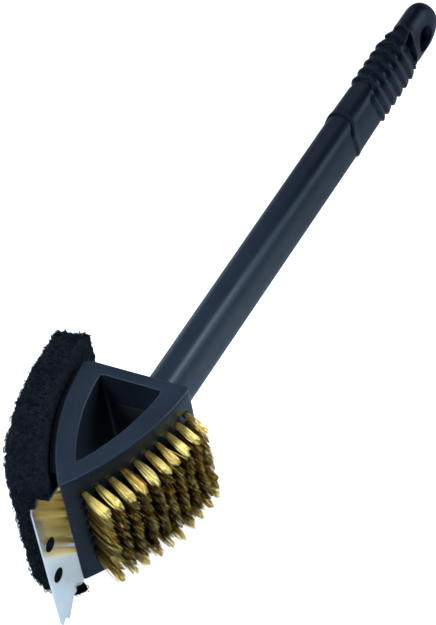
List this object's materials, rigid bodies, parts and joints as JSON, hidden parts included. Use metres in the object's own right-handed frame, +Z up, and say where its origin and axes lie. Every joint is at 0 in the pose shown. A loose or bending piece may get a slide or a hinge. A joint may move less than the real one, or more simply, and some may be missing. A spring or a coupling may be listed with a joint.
{
  "type": "grill cleaning brush",
  "caption": "Long-handled grill cleaning brush: hollow bowed triangular head with brass bristles, thick scouring pad and a notched steel scraper blade at the nose.",
  "frame": {"origin": "bottom centre of the brush's box: the point of the supporting plane under the middle of the brush lying on its side", "axes": "+X along the handle away from the head; +Z up through the upper end face of the head; the brass bristles point towards -Y and the scouring pad faces +Y"},
  "size_m": [0.4516, 0.1008, 0.09],
  "materials": {
    "moulded_plastic": "blue-black injection moulding, satin, fine moulded grain, edges slightly polished by handling",
    "backing_plastic": "black moulded sheet, dull",
    "scouring_fibre": "open curled black nylon fibre bonded with abrasive resin, dull with small glints",
    "brass_wire": "crimped bright brass wire, paler at the cut tips, browner between the tufts",
    "stainless_sheet": "rolled stainless sheet, satin, sheared edges",
    "zinc_steel": "bright zinc plate, semi-gloss"
  },
  "bodies": {
    "root": {"head_frame": "moulded_plastic", "handle": "moulded_plastic", "retaining_plate": "zinc_steel", "handle_screw": "zinc_steel", "scraper_blade": "stainless_sheet", "blade_screw_1": "zinc_steel", "blade_screw_2": "zinc_steel", "pad_backing": "backing_plastic", "pad_screw_1": "zinc_steel", "pad_screw_2": "zinc_steel", "scouring_pad": "scouring_fibre", "bristle_column_01": "brass_wire", "bristle_column_02": "brass_wire", "bristle_column_03": "brass_wire", "bristle_column_04": "brass_wire", "bristle_column_05": "brass_wire", "bristle_column_06": "brass_wire", "bristle_column_07": "brass_wire", "bristle_column_08": "brass_wire", "bristle_column_09": "brass_wire", "bristle_column_10": "brass_wire"}
  },
  "joints": []
}
